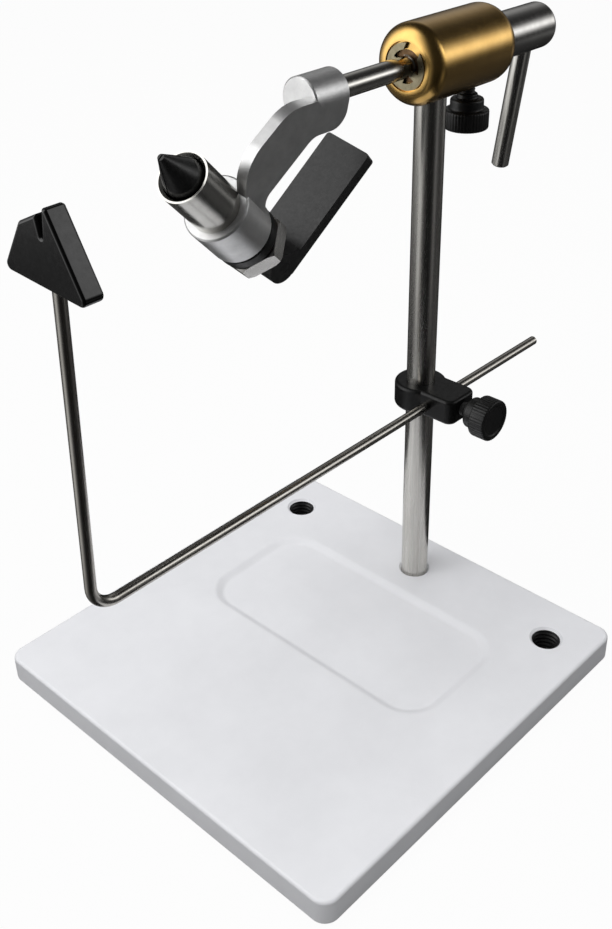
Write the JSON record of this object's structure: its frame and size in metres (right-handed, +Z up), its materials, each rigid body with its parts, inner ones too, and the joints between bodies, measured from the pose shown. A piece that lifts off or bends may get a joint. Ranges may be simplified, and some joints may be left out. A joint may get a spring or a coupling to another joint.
{
  "type": "fly tying vise",
  "caption": "Rotary fly tying vise on a flat pedestal base: cam lever jaws on an offset arm, brass bearing head, crank and a clamped thread cradle.",
  "frame": {"origin": "centre of the base plate's underside", "axes": "+Z up along the post, +X along the rotary shaft towards the crank, jaws point to -X"},
  "size_m": [0.203, 0.146, 0.2078],
  "materials": {
    "powder_coat": "pale grey powder coat, fine texture",
    "polished_steel": "polished stainless",
    "brass": "polished brass",
    "bronze": "oiled bronze",
    "spring_steel": "plain spring steel",
    "arm_aluminium": "satin machined",
    "sleeve_steel": "turned and polished",
    "nut_steel": "bright flats",
    "rod_steel": "drawn stainless rod",
    "jaw_steel": "black oxide",
    "black_collar": "black oxide",
    "black_screw": "black oxide",
    "black_lever": "satin black anodised",
    "black_clamp": "black anodised",
    "black_knob": "moulded black",
    "black_cradle": "moulded black",
    "nylon": "natural nylon"
  },
  "bodies": {
    "stand": {"base_plate": "powder_coat", "post": "polished_steel", "head_barrel": "brass", "front_bushing": "bronze", "rear_bushing": "bronze", "post_set_screw": "black_screw"},
    "rotor": {"rotary_shaft": "polished_steel", "shaft_clip": "spring_steel", "rear_hub": "polished_steel", "hub_set_screw": "black_screw", "crank_rod": "polished_steel", "offset_arm": "arm_aluminium", "arm_set_screw": "black_screw", "jaw_sleeve": "sleeve_steel", "sleeve_set_screw": "black_screw"},
    "adjuster": {"adjust_collar": "black_collar"},
    "nut": {"adjust_nut": "nut_steel"},
    "draw": {"draw_rod": "polished_steel", "cam_pin": "spring_steel"},
    "lever": {"cam_lever": "black_lever"},
    "left_jaw": {"jaw_left": "jaw_steel"},
    "right_jaw": {"jaw_right": "jaw_steel"},
    "drag_pad": {"drag_tip": "nylon"},
    "drag_screw": {"drag_stud": "black_screw", "drag_knob": "black_knob"},
    "clamp": {"clamp_block": "black_clamp", "clamp_shoe": "nylon"},
    "clamp_pad": {"clamp_tip": "nylon"},
    "clamp_screw": {"clamp_stud": "black_screw", "clamp_knob": "black_knob"},
    "cradle": {"cradle_rod": "rod_steel", "cradle_head": "black_cradle", "cradle_set_screw": "black_screw"}
  },
  "joints": [
    {"name": "rotor_spin", "type": "hinge", "parent": "stand", "child": "rotor", "pos_m": [0, 0, 0.1959], "axis": [1, 0, 0], "continuous": true},
    {"name": "adjust_slide", "type": "slide", "parent": "rotor", "child": "adjuster", "axis": [0.7071, 0.1591, -0.689], "range_m": [0, 0.001]},
    {"name": "adjust_turn", "type": "hinge", "parent": "adjuster", "child": "nut", "pos_m": [-0.01123, 0.00881, 0.15774], "axis": [0.7071, 0.1591, -0.689], "range_deg": [0, 360]},
    {"name": "draw_slide", "type": "slide", "parent": "adjuster", "child": "draw", "axis": [-0.7071, -0.1591, 0.689], "range_m": [0, 0.0006]},
    {"name": "lever_turn", "type": "hinge", "parent": "draw", "child": "lever", "pos_m": [-0.0048, 0.01026, 0.15147], "axis": [0, 0.9744, 0.225], "range_deg": [0, 90]},
    {"name": "left_jaw_swing", "type": "hinge", "parent": "draw", "child": "left_jaw", "pos_m": [-0.02354, 0.00604, 0.16973], "axis": [-0.7071, 0.1591, -0.689], "range_deg": [0, 0.4]},
    {"name": "right_jaw_swing", "type": "hinge", "parent": "draw", "child": "right_jaw", "pos_m": [-0.02354, 0.00604, 0.16973], "axis": [0.7071, -0.1591, 0.689], "range_deg": [0, 0.4]},
    {"name": "drag_slide", "type": "slide", "parent": "stand", "child": "drag_pad", "axis": [0, 0, -1], "range_m": [0, 0.00159]},
    {"name": "drag_turn", "type": "hinge", "parent": "drag_pad", "child": "drag_screw", "pos_m": [0.0737, 0, 0.18], "axis": [0, 0, -1], "range_deg": [0, 720]},
    {"name": "clamp_swing", "type": "hinge", "parent": "stand", "child": "clamp", "pos_m": [0.0554, 0, 0.0851], "axis": [0, 0, 1], "continuous": true},
    {"name": "clamp_pad_slide", "type": "slide", "parent": "clamp", "child": "clamp_pad", "axis": [0, -1, 0], "range_m": [0, 0.00159]},
    {"name": "clamp_turn", "type": "hinge", "parent": "clamp_pad", "child": "clamp_screw", "pos_m": [0.0554, -0.02, 0.0851], "axis": [0, -1, 0], "range_deg": [0, 720]},
    {"name": "cradle_slide", "type": "slide", "parent": "clamp", "child": "cradle", "axis": [1, 0, 0], "range_m": [-0.04, 0.03]}
  ],
  "couplings": [
    {"joint": "adjust_turn", "follows": "adjust_slide", "rad_per_m": 6283.2},
    {"joint": "draw_slide", "follows": "lever_turn", "m_per_rad": 0.00038197},
    {"joint": "left_jaw_swing", "follows": "lever_turn", "ratio": 0.0044444},
    {"joint": "right_jaw_swing", "follows": "lever_turn", "ratio": 0.0044444},
    {"joint": "drag_turn", "follows": "drag_slide", "rad_per_m": 7913.3},
    {"joint": "clamp_turn", "follows": "clamp_pad_slide", "rad_per_m": 7913.3}
  ]
}
